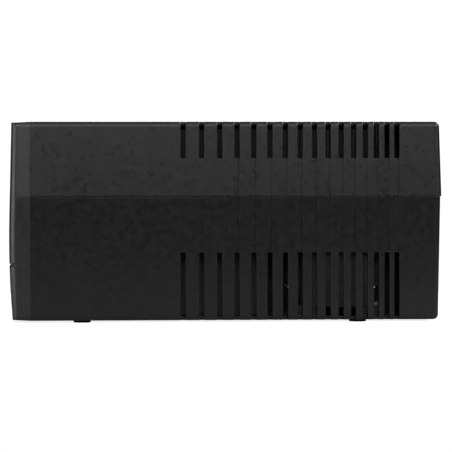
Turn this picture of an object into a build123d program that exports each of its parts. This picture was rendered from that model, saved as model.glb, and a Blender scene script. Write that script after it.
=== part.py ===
from build123d import *
import math
import os

os.makedirs("parts", exist_ok=True)

# A small line-interactive uninterruptible power supply: a plastic clamshell standing on four
# feet. Millimetres. +Z is up, the front faces -Y and the sockets are at +Y. The origin is on
# the floor under the middle of the box.

# ---------------------------------------------------------------- overall sizes
length = 300.0
width = 101.0
height = 139.0

# ---------------------------------------------------------------- housing
wall = 2.5
foot_drop = 1.6
seam_height = 87.0
upper_drafts = (2.6, 1.5)
lower_drafts = (1.8, 0.87)
seam_step = 0.7
edge_radius = 3.5
cavity_radius = 1.2
rear_corner_radius = 4.0
rear_wall = 4.5
seam_lip_radius = 0.7
seam_edge_radius = 0.3
tongue_height = 2.0
tongue_thickness = 1.3
fit = 0.15
snug = 0.05

# ---------------------------------------------------------------- bezel
bezel_depth = 15.5
flange_depth = 9.4
flange_taper = 3.0
bezel_seam_inset = 0.2
corner_run = 7.0
corner_share = 0.9
corner_sagitta = 0.2
bezel_wall = 2.0
upper_bulge = 4.2
seam_bulge = 5.5
middle_bulge = 6.1
lower_bulge = 5.5
foot_bulge = 3.4
bezel_top_radius = 1.8
groove_height = 40.3
groove_width = 1.4
groove_depth = 1.0
tab_width = 12.0
tab_thickness = 1.6
tab_reach = 8.5
hook_height = 0.9
upper_tab_height = 105.0
lower_tab_height = 30.0

# ---------------------------------------------------------------- vent slots
slot_count = 16
slot_width = 3.4
slot_first_pitch = 12.88
slot_pitch_loss = 0.428
last_slot_to_rear = 31.15
slot_wrap = 9.0
upper_slot_length = 25.4
lower_slot_top = 48.4
slot_rim = 0.35
first_grooved_slot = 3
line_width = 0.7
line_depth = 0.45
line_offset = 0.85

# ---------------------------------------------------------------- feet and case screws
foot_radius = 6.0
foot_seat = 0.8
foot_side = 34.0
front_foot_to_front = 50.8
rear_foot_to_rear = 57.35
boss_radius = 5.0
boss_side = 10.5
front_boss_setback = 16.5
rear_boss_setback = 18.0
counterbore_radius = 3.2
screw_seat_to_seam = 12.0
screw_radius = 1.75
screw_head_radius = 2.9
screw_head_height = 2.0
screw_length = 24.0

# ---------------------------------------------------------------- front controls
fascia_half_width = 30.0
fascia_bottom = 58.0
fascia_top = 126.0
fascia_thickness = 2.9
fascia_sink = 0.2
button_radius = 9.0
button_height = 104.0
button_gap = 0.3
button_proud = 0.6
button_flange = 1.6
button_flange_reach = 1.6
dish_depth = 0.7
button_travel = 2.5
light_count = 3
light_spacing = 14.0
light_height = 74.0
light_radius = 2.0
light_flange = 1.2
board_thickness = 1.6
display_half_width = 31.0
display_bottom = 61.0
display_top = 123.0
display_gap = 3.0
led_height = 1.5
switch_size = 12.0
switch_depth = 6.5
plunger_radius = 1.8
spring_wire = 0.25
spring_radius = 3.6
spring_turns = 4
buzzer_radius = 6.0
buzzer_depth = 8.0
peg_radius = 3.0
pin_radius = 1.2
pin_length = 1.4

# ---------------------------------------------------------------- battery
battery_width = 65.0
battery_front_gap = 2.9
battery_gap = 0.4
battery_to_coil = 18.0
battery_lid_height = 6.0
battery_headroom = 9.9
terminal_inset = 8.0
terminal_side = 22.0
terminal_width = 6.35
terminal_thickness = 0.8
terminal_height = 6.3
rib_thickness = 2.0
rib_height = 56.0
stop_height = 20.0
floor_rib_height = 48.0
roof_rib_depth = 23.0
roof_rib_shallow = 3.6
relay_to_board_rear = 12.0
fin_height_gap = 0.3
fin_side = 29.0
fin_length = 44.0

# ---------------------------------------------------------------- transformer
transformer_to_rear = 73.0
core_side_gap = 3.0
core_stack = 45.0
core_headroom = 26.0
coil_build = 12.5
bobbin_wall = 1.5
pad_height = 6.0
clamp_width = 10.0
clamp_thickness = 1.5
clamp_foot = 9.0
small_screw_radius = 1.25
small_head_radius = 2.5
small_head_height = 1.8

# ---------------------------------------------------------------- main board
board_to_top = 31.0
board_half_width = 43.0
board_rear_setback = 38.0
board_front_reach = 95.0
board_screw_inset = 6.0
board_screw_side = 6.0
heatsink_height = 24.0
heatsink_base = 2.5
heatsink_inset = 12.0
fin_depth = 4.5
fin_pitch = 6.0
fin_thickness = 1.2

# ---------------------------------------------------------------- rear panel and its sockets
panel_thickness = 2.0
panel_margin = 5.0
window_side = 12.5
window_bottom = 14.0
window_to_top = 17.0
column_offset = 18.5
outlet_count = 3
outlet_pitch = 32.0
outlet_lowest = 30.0
socket_flange_width = 34.0
socket_flange_height = 26.0
socket_flange = 2.0
socket_wall = 1.2
socket_depth = 16.0
socket_floor = 2.5
recess_width = 29.0
recess_height = 21.0
island_width = 23.8
island_height = 15.8
island_cut = 3.2
contact_spacing = 7.0
earth_rise = 2.0
live_drop = 2.0
slot_for_pin_width = 2.6
slot_for_pin_height = 4.8
strip_width = 5.0
strip_thickness = 0.8
tongue_reach = 12.0
inlet_height = 46.0
inlet_cavity_width = 24.6
inlet_cavity_height = 16.8
pin_thickness = 2.0
pin_height = 4.0
pin_reach = 15.0
tail_reach = 4.5
drawer_drop = 15.5
drawer_width = 24.0
drawer_height = 9.0
drawer_depth = 16.0
drawer_plate = 1.5
fuse_radius = 2.6
fuse_length = 20.0
port_height = 106.0
usb_side = 9.5
data_side = 27.0

# ---------------------------------------------------------------- leads
lead_radius = 1.6
lead_bend = 9.0
lead_rise = 12.0
thin_lead_radius = 1.2
cable_width = 10.0
cable_thickness = 1.0
cable_x = 6.5
cable_drop = 3.0
cable_end_inset = 12.0

# ---------------------------------------------------------------- positions that follow
front_y = -length / 2
rear_y = length / 2
case_front_y = front_y + bezel_depth
flange_front_y = case_front_y - flange_depth
floor_top = foot_drop + wall
ceiling = height - wall
rear_inner_y = rear_y - rear_wall
panel_front_y = rear_inner_y - panel_thickness
panel_half_width = width / 2 - window_side + panel_margin
window_half_width = width / 2 - window_side
window_top = height - window_to_top
board_bottom = height - board_to_top
board_top = board_bottom + board_thickness
board_rear_y = rear_y - board_rear_setback
core_centre_y = rear_y - transformer_to_rear
core_bottom = floor_top + pad_height
core_top = board_bottom - core_headroom
coil_front_y = core_centre_y - core_stack / 2 - coil_build
display_back_y = case_front_y + display_gap + board_thickness
display_front_y = display_back_y - board_thickness
battery_front_y = display_back_y + battery_front_gap
battery_rear_y = coil_front_y - battery_to_coil
battery_top = board_bottom - battery_headroom
board_front_y = core_centre_y - core_stack / 2 - clamp_foot - board_front_reach
bezel_inner_y = front_y + fascia_thickness + fascia_sink + bezel_wall
fascia_seat_y = bezel_inner_y - bezel_wall
cable_height = display_top - cable_drop
cable_end_y = board_front_y + cable_end_inset
boss_x = width / 2 - boss_side
front_boss_y = case_front_y + front_boss_setback
rear_boss_y = rear_y - rear_boss_setback


def upper_half(z):
    return width / 2 - (z - seam_height) * math.tan(math.radians(upper_drafts[0]))


def lower_half(z):
    return width / 2 - seam_step - (seam_height - z) * math.tan(math.radians(lower_drafts[0]))


def slot_places():
    """The slots crowd together towards the rear: each pitch is a little less than the last."""
    pitches = [slot_first_pitch - slot_pitch_loss * i for i in range(slot_count - 1)]
    start = rear_y - last_slot_to_rear - sum(pitches)
    return [start + sum(pitches[:i]) for i in range(slot_count)]


def about(middle, half):
    return (middle - half, middle + half)


def block(x, y, z, mode=Mode.ADD):
    """A box between two corners, each axis given as (low, high)."""
    with Locations(((x[0] + x[1]) / 2, (y[0] + y[1]) / 2, (z[0] + z[1]) / 2)):
        Box(x[1] - x[0], y[1] - y[0], z[1] - z[0], mode=mode)


def post(places, radius, z, mode=Mode.ADD):
    """Upright rods at each (x, y) from z[0] to z[1]."""
    with BuildSketch(Plane.XY.offset(z[0])) as ends:
        with Locations(*places):
            Circle(radius)
    extrude(ends.sketch, amount=z[1] - z[0], mode=mode)


def rod(places, radius, y, mode=Mode.ADD):
    """Rods along Y at each (x, z) from y[0] to y[1]."""
    with BuildSketch(Plane.XZ.offset(-y[1])) as ends:
        with Locations(*places):
            Circle(radius)
    extrude(ends.sketch, amount=y[1] - y[0], mode=mode)


def tapered_block(half_width, front, rear, end_height, drafts, corner, plumb_rear=False):
    """A block from the seam plane up or down to end_height, narrowing with its two drafts.

    The drafts are those of the side walls and of the rear wall. The front is plumb, and so is
    the rear if asked."""
    reach = 30.0
    rise = abs(end_height - seam_height)
    side_draft, rear_draft = (rise * math.tan(math.radians(draft)) for draft in drafts)
    with BuildPart() as tapered:
        for z, half, back in (
            (seam_height, half_width, rear),
            (end_height, half_width - side_draft, rear if plumb_rear else rear - rear_draft),
        ):
            with BuildSketch(Plane.XY.offset(z)) as plan:
                with Locations((0, (front - reach + back) / 2)):
                    Rectangle(2 * half, back - front + reach)
                if corner > 0:
                    fillet(plan.vertices().group_by(Axis.Y)[-1], corner)
        loft(ruled=True)
        split(bisect_by=Plane.XZ.offset(-front), keep=Keep.BOTTOM)
    return tapered.part


def end_edges(part, end, front):
    """The edges round the flat end face of a tapered block, without the one at its front."""
    face = part.faces().sort_by(Axis.Z)[end]
    return face.edges().filter_by(lambda edge: edge.center().Y > front + 0.5)


def housing_block(half_width, end_height, drafts, rear, end, seam_radius):
    with BuildPart() as outer:
        add(tapered_block(half_width, case_front_y, rear, end_height, drafts, rear_corner_radius))
        fillet(end_edges(outer.part, end, case_front_y), edge_radius)
        seam_end = -1 - end
        fillet(end_edges(outer.part, seam_end, case_front_y), seam_radius)
    return outer.part


def housing_cavity(half_width, end_height, drafts, end):
    front = case_front_y - 5.0
    with BuildPart() as inner:
        add(tapered_block(half_width - wall, front, rear_inner_y, end_height, drafts, 0, True))
        fillet(end_edges(inner.part, end, front), cavity_radius)
    return inner.part


def cut_slots(z):
    """Slots through both side walls that wrap round the long edge."""
    for y in slot_places():
        for side in (-1, 1):
            inner_x = side * (width / 2 - slot_wrap)
            outer_x = side * (width / 2 + 2.0)
            span = (min(inner_x, outer_x), max(inner_x, outer_x))
            block(span, (y - slot_width / 2, y + slot_width / 2), z, Mode.SUBTRACT)


def soften_slots(part, outer):
    """Breaks the outer rims of the slots with a small chamfer."""
    skin = outer.shell()
    rims = []
    for edge in part.edges():
        middle = edge @ 0.5
        close = min(abs(middle.Y - y) for y in slot_places()) < slot_width / 2 + 0.01
        if close and edge.length < 60 and abs(middle.X) > width / 2 - slot_wrap - 0.01:
            if skin.distance_to(middle) < 0.001:
                rims.append(edge)
    chamfer(rims, slot_rim)


def cut_lines(half_width, draft, up, start, end):
    """Fine upright lines from the slots to the seam, cut square to the drafted side walls."""
    tilt = math.radians(draft)
    for side in (-1, 1):
        face = Plane(
            origin=(side * half_width, 0, seam_height),
            x_dir=(0, 1, 0),
            z_dir=(side * math.cos(tilt), 0, up * math.sin(tilt)),
        )
        upright = 1 if face.y_dir.Z > 0 else -1
        with BuildSketch(face) as lines:
            for y in slot_places()[first_grooved_slot:]:
                low, high = sorted((upright * start, upright * end))
                with Locations((y + line_offset, (low + high) / 2)):
                    Rectangle(line_width, high - low)
        extrude(lines.sketch, amount=-line_depth, mode=Mode.SUBTRACT)


def cut_hook_pockets(z, inner_x):
    """Pockets in the side walls where the bezel's hooks catch."""
    hook_y = case_front_y + tab_reach
    for side in (-1, 1):
        span = sorted((side * (inner_x - 0.6), side * (inner_x + hook_height + fit)))
        block(span, (hook_y - 3.0 - fit, hook_y + fit), (z - 4.5, z + 4.5), Mode.SUBTRACT)


def board_screw_places():
    side = board_half_width - board_screw_side
    return [
        (x, y)
        for x in (-side, side)
        for y in (board_front_y + board_screw_inset, board_rear_y - board_screw_inset)
    ]


def case_screw_places():
    return [(x, y) for x in (-boss_x, boss_x) for y in (front_boss_y, rear_boss_y)]


def foot_places():
    return {
        "foot_front_left": (-foot_side, front_y + front_foot_to_front),
        "foot_front_right": (foot_side, front_y + front_foot_to_front),
        "foot_rear_left": (-foot_side, rear_y - rear_foot_to_rear),
        "foot_rear_right": (foot_side, rear_y - rear_foot_to_rear),
    }


def clamp_places():
    """Centres of the four transformer pads: x, y of the core's corner, and which way is out."""
    side = core_half_width() - core_half_width() / 6
    return [
        (x, core_centre_y + out * core_stack / 2, out)
        for x in (-side, side)
        for out in (-1, 1)
    ]


def core_half_width():
    return lower_half(floor_top) - wall - core_side_gap


def upper_tab_x():
    return upper_half(upper_tab_height + tab_width / 2) - wall


def lower_tab_x():
    return lower_half(lower_tab_height - tab_width / 2) - wall


# ================================================================ housing shells
def make_lower_case():
    half = width / 2 - seam_step
    outer = housing_block(half, foot_drop, lower_drafts, rear_y - seam_step, 0, seam_edge_radius)
    rib_end = lower_half(floor_top) - wall / 2
    with BuildPart() as lower_case:
        add(outer)
        add(housing_cavity(half, floor_top, lower_drafts, 0), mode=Mode.SUBTRACT)
        cut_slots((foot_drop - 1.0, lower_slot_top))
        soften_slots(lower_case.part, outer)
        cut_lines(half, lower_drafts[0], -1, 0.0, lower_slot_top - seam_height + 0.2)
        # window for the rear panel, its sill and its two guides
        block(
            (-window_half_width, window_half_width),
            (rear_inner_y - 1.0, rear_y + 1.0),
            (window_bottom, seam_height + 1.0),
            Mode.SUBTRACT,
        )
        sill_top = window_bottom - panel_margin
        block(
            (-panel_half_width, panel_half_width),
            (panel_front_y - fit - rib_thickness, rear_inner_y + 0.5),
            (floor_top - 0.5, sill_top - snug),
        )
        for side in (-1, 1):
            span = sorted((side * (panel_half_width - 2.5), side * rib_end))
            guide = (panel_front_y - fit - rib_thickness, panel_front_y - fit)
            block(span, guide, (floor_top - 0.5, seam_height - 1.0))
        # seam tongues along both sides
        for side in (-1, 1):
            inner = half - wall
            span = sorted((side * inner, side * (inner + tongue_thickness)))
            runs = (case_front_y + tab_reach, rear_boss_y + boss_radius)
            block(span, runs, (seam_height - 0.5, seam_height + tongue_height))
        # battery stops and side ribs
        for y in (
            (battery_front_y - battery_gap - rib_thickness, battery_front_y - battery_gap),
            (battery_rear_y + battery_gap, battery_rear_y + battery_gap + rib_thickness),
        ):
            block((-30, 30), y, (floor_top - 0.5, floor_top + stop_height))
        for side in (-1, 1):
            for y in (battery_front_y + 27.0, battery_front_y + 80.0):
                span = sorted((side * (battery_width / 2 + battery_gap), side * rib_end))
                block(span, (y, y + rib_thickness), (floor_top - 0.5, floor_top + rib_height))
        # stiffening rib along the floor's middle, low where the winding hangs over it
        core_front, core_back = core_centre_y - core_stack / 2, core_centre_y + core_stack / 2
        low_rib = (floor_top - 0.5, core_bottom + core_half_width() / 3 - 2.0)
        tall_rib = (floor_top - 0.5, floor_top + floor_rib_height)
        for runs, heights in (
            ((battery_rear_y + battery_gap, coil_front_y - 1.0), tall_rib),
            ((coil_front_y - 2.0, core_front - 1.0), low_rib),
            ((core_back + 1.0, core_back + coil_build + 2.0), low_rib),
            ((core_back + coil_build + 1.0, panel_front_y - fit), tall_rib),
        ):
            block((-rib_thickness / 2, rib_thickness / 2), runs, heights)
        # transformer pads
        for x, y, out in clamp_places():
            ends = sorted((y - out * 9.0, y + out * (clamp_foot + clamp_thickness)))
            block((x - 6, x + 6), ends, (floor_top - 0.5, core_bottom))
        # case screw tubes
        post(case_screw_places(), boss_radius, (floor_top - 0.5, seam_height))
        post(case_screw_places(), screw_radius + fit, (foot_drop - 1, seam_height + 1), Mode.SUBTRACT)
        seat = seam_height - screw_seat_to_seam
        post(case_screw_places(), counterbore_radius, (foot_drop - 1, seat), Mode.SUBTRACT)
        # pilot holes in the transformer pads and seats for the feet
        holes = [(x, y + out * (clamp_foot / 2 + clamp_thickness)) for x, y, out in clamp_places()]
        post(holes, small_screw_radius, (floor_top, core_bottom + 1), Mode.SUBTRACT)
        post(
            list(foot_places().values()),
            foot_radius + fit,
            (foot_drop - 1, foot_drop + foot_seat),
            Mode.SUBTRACT,
        )
        cut_hook_pockets(lower_tab_height, lower_tab_x())
    lower_case.part.label = "lower_case"
    export_step(lower_case.part, "parts/lower_case.step")


def make_upper_cover():
    half = width / 2
    outer = housing_block(half, height, upper_drafts, rear_y, -1, seam_lip_radius)
    slot_bottom = height - upper_slot_length
    rib_end = upper_half(ceiling) - wall / 2
    with BuildPart() as upper_cover:
        add(outer)
        add(housing_cavity(half, ceiling, upper_drafts, -1), mode=Mode.SUBTRACT)
        cut_slots((slot_bottom, height + 1.0))
        soften_slots(upper_cover.part, outer)
        cut_lines(half, upper_drafts[0], 1, 0.0, slot_bottom - seam_height - 0.2)
        block(
            (-window_half_width, window_half_width),
            (rear_inner_y - 1.0, rear_y + 1.0),
            (seam_height - 1.0, window_top),
            Mode.SUBTRACT,
        )
        # guides for the rear panel and the bar above it
        for side in (-1, 1):
            span = sorted((side * (panel_half_width - 2.5), side * rib_end))
            guide = (panel_front_y - fit - rib_thickness, panel_front_y - fit)
            block(span, guide, (seam_height + 1.0, ceiling + 0.5))
        block(
            (-panel_half_width, panel_half_width),
            (panel_front_y - fit - rib_thickness, rear_inner_y + 0.5),
            (window_top + panel_margin + snug, ceiling + 0.5),
        )
        # rebates for the seam tongues
        for side in (-1, 1):
            inner = half - wall - 1.0
            reach = half - seam_step - wall + tongue_thickness + fit
            span = sorted((side * inner, side * reach))
            runs = (case_front_y - 1, rear_inner_y - 1)
            block(span, runs, (seam_height - 1, seam_height + tongue_height + fit), Mode.SUBTRACT)
        # case screw bosses
        post(case_screw_places(), boss_radius - 0.5, (seam_height, ceiling + 0.5))
        depth = screw_length - screw_seat_to_seam + 2.0
        post(case_screw_places(), screw_radius, (seam_height - 1, seam_height + depth), Mode.SUBTRACT)
        # main board bosses, hung from the ceiling
        post(board_screw_places(), 3.5, (board_top, ceiling + 0.5))
        post(board_screw_places(), small_screw_radius, (board_top - 1, board_top + 10), Mode.SUBTRACT)
        # stiffening rib under the roof, deep behind the tall board parts
        for runs, depth in (
            ((board_front_y, core_centre_y), roof_rib_shallow),
            ((core_centre_y - 1.0, panel_front_y - fit), roof_rib_depth),
        ):
            block((-rib_thickness / 2, rib_thickness / 2), runs, (ceiling - depth, ceiling + 0.5))
        # fins that hold the battery down
        for side in (-1, 1):
            x = side * fin_side
            y = battery_front_y + 22.0
            block(
                (x - rib_thickness / 2, x + rib_thickness / 2),
                (y, y + fin_length),
                (battery_top + fin_height_gap, ceiling + 0.5),
            )
        cut_hook_pockets(upper_tab_height, upper_tab_x())
    upper_cover.part.label = "upper_cover"
    export_step(upper_cover.part, "parts/upper_cover.step")


# ================================================================ front bezel
def front_outline(inset, radius):
    """The box seen from the front: it is widest at the seam."""
    with BuildSketch(Plane.XZ) as outline:
        with BuildLine():
            right = [
                (bezel_half(height) - inset, height - inset),
                (bezel_half(seam_height) - inset, seam_height),
                (bezel_half(foot_drop) - inset, foot_drop + inset),
            ]
            left = [(-x, z) for x, z in reversed(right)]
            Polyline(*right, *left, close=True)
        make_face()
        outer = [v for v in outline.vertices() if abs(v.Z - seam_height) > 1]
        fillet(outer, radius)
    return outline.sketch


def bezel_half(z):
    """Half the bezel's width at its back edge: widest at the seam."""
    seam = width / 2 - bezel_seam_inset
    if z > seam_height:
        return seam + (upper_half(height) - seam) * (z - seam_height) / (height - seam_height)
    return seam + (lower_half(foot_drop) - seam) * (seam_height - z) / (seam_height - foot_drop)


def plan_section(z, bulge, shift):
    """The bezel's front seen from above: rounded corners that start at a crease, and a crown."""
    side = bezel_half(z) - flange_depth * math.tan(math.radians(flange_taper)) + 0.1
    crease = flange_front_y + shift
    shoulder = (side - corner_run, crease - corner_share * bulge)
    crown = (0, crease - bulge)
    chord = math.hypot(corner_run, corner_share * bulge)
    with BuildSketch(Plane.XY.offset(z)) as section:
        with BuildLine():
            SagittaArc((side, crease), shoulder, corner_sagitta * chord * 0.65)
            ThreePointArc(shoulder, crown, (-shoulder[0], shoulder[1]))
            SagittaArc((-shoulder[0], shoulder[1]), (-side, crease), corner_sagitta * chord * 0.65)
            Polyline(
                (-side, crease),
                (-side - 4, crease),
                (-side - 4, case_front_y + 4),
                (side + 4, case_front_y + 4),
                (side + 4, crease),
                (side, crease),
            )
        make_face()
    return section.sketch


def bezel_skin(shift=0.0):
    """The bulging front as a solid with plain sides, cut to the outline where it is used."""
    seam = plan_section(seam_height, seam_bulge, shift)
    top = plan_section(height + 1.0, upper_bulge, shift)
    lower = [
        seam,
        plan_section(seam_height - 30.0, middle_bulge, shift),
        plan_section(seam_height - 58.0, lower_bulge, shift),
        plan_section(foot_drop - 1.0, foot_bulge, shift),
    ]
    with BuildPart() as skin:
        loft(sections=[seam, top], ruled=True)
        loft(sections=lower)
    return skin.part


def bezel_brow():
    """The side view of the front, a hair outside it, with its two front corners rounded."""
    clear = 0.05
    slope = math.tan(math.radians(flange_taper))
    top_y = flange_front_y - upper_bulge - clear
    foot_y = flange_front_y - foot_bulge - 2 * clear
    back_y = case_front_y + 1.0
    top_z = height + (top_y - case_front_y) * slope
    foot_z = foot_drop - (foot_y - case_front_y) * slope
    lower_points = [
        (flange_front_y - middle_bulge - clear, seam_height - 30.0),
        (flange_front_y - lower_bulge - 2 * clear, seam_height - 58.0),
        (foot_y, foot_z),
    ]
    with BuildPart() as brow:
        with BuildSketch(Plane.YZ) as side:
            with BuildLine():
                Polyline((foot_y, foot_z), (back_y, foot_drop - 1), (back_y, height + 1), (top_y, top_z))
                Polyline(
                    (top_y, top_z),
                    (flange_front_y - seam_bulge - clear, seam_height),
                    lower_points[0],
                )
                ThreePointArc(*lower_points)
            make_face()
            corners = [v for v in side.vertices() if v.Y < front_y + 4 and abs(v.Z - middle_z()) > 60]
            fillet(corners, bezel_top_radius)
        extrude(amount=width, both=True)
    return brow.part


def middle_z():
    return (height + foot_drop) / 2


def bezel_prism(inset, start, reach, radius):
    with BuildPart() as prism:
        with BuildSketch(Plane.XZ.offset(-start)):
            add(front_outline(inset, radius))
        extrude(amount=reach, taper=flange_taper)
    return prism.part


def light_places():
    first = -light_spacing * (light_count - 1) / 2
    return [(first + light_spacing * i, light_height) for i in range(light_count)]


def peg_places():
    return [
        (x, z)
        for x in (-display_half_width + 4.0, display_half_width - 4.0)
        for z in (display_bottom + 4.0, display_top - 4.0)
    ]


def make_front_bezel():
    with BuildPart() as groove_tool:
        height_span = (groove_height - groove_width / 2, groove_height + groove_width / 2)
        block((-60, 60), (front_y - 5, flange_front_y - 0.6), height_span)
        add(bezel_skin(groove_depth), mode=Mode.SUBTRACT)
    with BuildPart() as front_bezel:
        add(bezel_prism(0, case_front_y, bezel_depth + 2.0, edge_radius))
        add(bezel_skin(), mode=Mode.INTERSECT)
        add(bezel_brow(), mode=Mode.INTERSECT)
        add(
            bezel_prism(wall, case_front_y + 1.0, flange_depth - 1.0, cavity_radius),
            mode=Mode.SUBTRACT,
        )
        pocket_half = fascia_half_width + 6.0
        block(
            (-pocket_half, pocket_half),
            (bezel_inner_y, case_front_y + 1),
            (fascia_bottom - 3, fascia_top + 2),
            Mode.SUBTRACT,
        )
        block(
            (-pocket_half, pocket_half),
            (bezel_inner_y - 1.0, case_front_y + 1),
            (foot_drop + 9, fascia_bottom - 6),
            Mode.SUBTRACT,
        )
        add(groove_tool.part, mode=Mode.SUBTRACT)
        # seat of the glossy fascia, and the holes behind it
        block(
            (-fascia_half_width - fit, fascia_half_width + fit),
            (front_y - 5, fascia_seat_y),
            (fascia_bottom - fit, fascia_top + fit),
            Mode.SUBTRACT,
        )
        hole = (front_y - 5, bezel_inner_y + 1)
        rod([(0, button_height)], button_radius + button_gap, hole, Mode.SUBTRACT)
        rod(light_places(), light_radius + snug, hole, Mode.SUBTRACT)
        # pegs for the display board, with pins through it
        rod(peg_places(), peg_radius, (bezel_inner_y - 0.5, display_front_y))
        rod(peg_places(), pin_radius, (display_front_y - 1, display_back_y + pin_length))
        # tabs with hooks that hold the bezel in the case
        for side in (-1, 1):
            for z, inner in ((upper_tab_height, upper_tab_x()), (lower_tab_height, lower_tab_x())):
                tab_outer = inner - fit
                tab = sorted((side * (tab_outer - tab_thickness), side * tab_outer))
                root = sorted((side * (tab_outer - tab_thickness), side * (inner + 1.5)))
                tip_y = case_front_y + tab_reach
                heights = (z - tab_width / 2, z + tab_width / 2)
                block(tab, (case_front_y - 6, tip_y), heights)
                block(root, (case_front_y - 6, case_front_y - 3), heights)
                hook = sorted((side * (tab_outer - 0.5), side * (tab_outer + hook_height)))
                block(hook, (tip_y - 3.0, tip_y), (z - 4, z + 4))
    front_bezel.part.label = "front_bezel"
    export_step(front_bezel.part, "parts/front_bezel.step")


def make_front_fascia():
    with BuildPart() as front_fascia:
        block(
            (-fascia_half_width, fascia_half_width),
            (front_y - 5, fascia_seat_y),
            (fascia_bottom, fascia_top),
        )
        add(bezel_skin(fascia_sink), mode=Mode.INTERSECT)
        hole = (front_y - 5, fascia_seat_y + 1)
        rod([(0, button_height)], button_radius + button_gap, hole, Mode.SUBTRACT)
        rod(light_places(), light_radius + snug, hole, Mode.SUBTRACT)
    front_fascia.part.label = "front_fascia"
    export_step(front_fascia.part, "parts/front_fascia.step")


def button_front_y():
    share = (button_height - seam_height) / (height + 1.0 - seam_height)
    bulge = seam_bulge + (upper_bulge - seam_bulge) * share
    return flange_front_y - bulge + fascia_sink - button_proud


def flange_back_y():
    return bezel_inner_y + fit + button_flange


def make_power_button():
    with BuildPart() as power_button:
        rod([(0, button_height)], button_radius, (button_front_y(), bezel_inner_y + fit + 0.5))
        face = power_button.faces().sort_by(Axis.Y)[0]
        fillet(face.edges(), 0.8)
        # shallow round dish in the cap
        rim = button_radius - 2.2
        sphere_radius = (rim**2 + dish_depth**2) / (2 * dish_depth)
        with Locations((0, button_front_y() + dish_depth - sphere_radius, button_height)):
            Sphere(sphere_radius, mode=Mode.SUBTRACT)
        flange_radius = button_radius + button_flange_reach
        rod([(0, button_height)], flange_radius, (bezel_inner_y + fit, flange_back_y()))
    power_button.part.label = "power_button"
    export_step(power_button.part, "parts/power_button.step")


def switch_front_y():
    return display_front_y - switch_depth


def make_power_switch():
    with BuildPart() as power_switch:
        half = switch_size / 2
        block(
            (-half, half),
            (switch_front_y(), display_front_y),
            (button_height - half, button_height + half),
        )
        chamfer(power_switch.edges().filter_by(Axis.Y), 0.8)
        bore = (switch_front_y() - 1, switch_front_y() + button_travel + 1.8)
        rod([(0, button_height)], plunger_radius + snug, bore, Mode.SUBTRACT)
    power_switch.part.label = "power_switch"
    export_step(power_switch.part, "parts/power_switch.step")


def make_power_switch_plunger():
    with BuildPart() as power_switch_plunger:
        rod([(0, button_height)], plunger_radius, (flange_back_y(), switch_front_y() + 1.5))
    power_switch_plunger.part.label = "power_switch_plunger"
    export_step(power_switch_plunger.part, "parts/power_switch_plunger.step")


def make_power_button_spring():
    room = switch_front_y() - flange_back_y() - 2 * spring_wire
    centre = (0, flange_back_y() + spring_wire, button_height)
    with BuildPart() as power_button_spring:
        with BuildLine() as coil:
            Helix(
                pitch=room / spring_turns,
                height=room,
                radius=spring_radius,
                center=centre,
                direction=(0, 1, 0),
            )
        with BuildSketch(Plane(origin=coil.line @ 0, z_dir=coil.line % 0)):
            Circle(spring_wire)
        sweep(path=coil.line, is_frenet=True)
    power_button_spring.part.label = "power_button_spring"
    export_step(power_button_spring.part, "parts/power_button_spring.step")


def make_display_board():
    with BuildPart() as display_board:
        block(
            (-display_half_width, display_half_width),
            (display_front_y, display_back_y),
            (display_bottom, display_top),
        )
        rod(peg_places(), pin_radius + snug, (display_front_y - 1, display_back_y + 1), Mode.SUBTRACT)
        for x, z in light_places():
            block((x - 1.5, x + 1.5), (display_front_y - led_height, display_front_y), (z - 1.5, z + 1.5))
        # header for the ribbon cable, on the back
        x, z = cable_x, cable_height
        block((x - 6.5, x + 6.5), (display_back_y, display_back_y + 4.0), (z - 2.5, z + 2.5))
        # small surface parts
        for x, z in ((-18, 82), (-10, 84), (14, 84), (20, 96), (-22, 94)):
            block((x - 1, x + 1), (display_front_y - 0.8, display_front_y), (z - 0.6, z + 0.6))
    display_board.part.label = "display_board"
    export_step(display_board.part, "parts/display_board.step")


def make_light_pipes():
    names = ("light_pipe_mains", "light_pipe_battery", "light_pipe_fault")
    for name, (x, z) in zip(names, light_places()):
        with BuildPart() as light_pipe:
            tip_y = flange_front_y - seam_bulge - 0.1
            rod([(x, z)], light_radius, (tip_y, display_front_y - led_height))
            fillet(light_pipe.faces().sort_by(Axis.Y)[0].edges(), 0.4)
            rod([(x, z)], light_radius + light_flange, (bezel_inner_y, bezel_inner_y + 1.0))
        light_pipe.part.label = name
        export_step(light_pipe.part, f"parts/{name}.step")


def make_buzzer():
    x, z = -19.0, button_height + 4.0
    with BuildPart() as buzzer:
        rod([(x, z)], buzzer_radius, (display_front_y - buzzer_depth, display_front_y))
        chamfer(buzzer.faces().sort_by(Axis.Y)[0].edges(), 0.5)
        mouth = (display_front_y - buzzer_depth - 1, display_front_y - buzzer_depth + 1.5)
        rod([(x, z)], 1.2, mouth, Mode.SUBTRACT)
    buzzer.part.label = "buzzer"
    export_step(buzzer.part, "parts/buzzer.step")


# ================================================================ feet and screws
def make_feet():
    for name, place in foot_places().items():
        with BuildPart() as foot:
            post([place], foot_radius, (0, foot_drop + foot_seat))
            fillet(foot.faces().sort_by(Axis.Z)[0].edges(), 0.6)
        foot.part.label = name
        export_step(foot.part, f"parts/{name}.step")


def cross_slot(x, y, z, head, depth):
    """A cross recess in an upright screw's head; depth is signed, into the head."""
    span = sorted((z, z + depth))
    block((x - head * 0.55, x + head * 0.55), (y - 0.4, y + 0.4), span, Mode.SUBTRACT)
    block((x - 0.4, x + 0.4), (y - head * 0.55, y + head * 0.55), span, Mode.SUBTRACT)


def make_case_screws():
    seat = seam_height - screw_seat_to_seam
    with BuildPart() as case_screws:
        for x, y in case_screw_places():
            post([(x, y)], screw_head_radius, (seat - screw_head_height, seat))
            post([(x, y)], screw_radius - 0.02, (seat, seat + screw_length))
            cross_slot(x, y, seat - screw_head_height, screw_head_radius, 1.0)
    case_screws.part.label = "case_screws"
    export_step(case_screws.part, "parts/case_screws.step")


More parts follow.
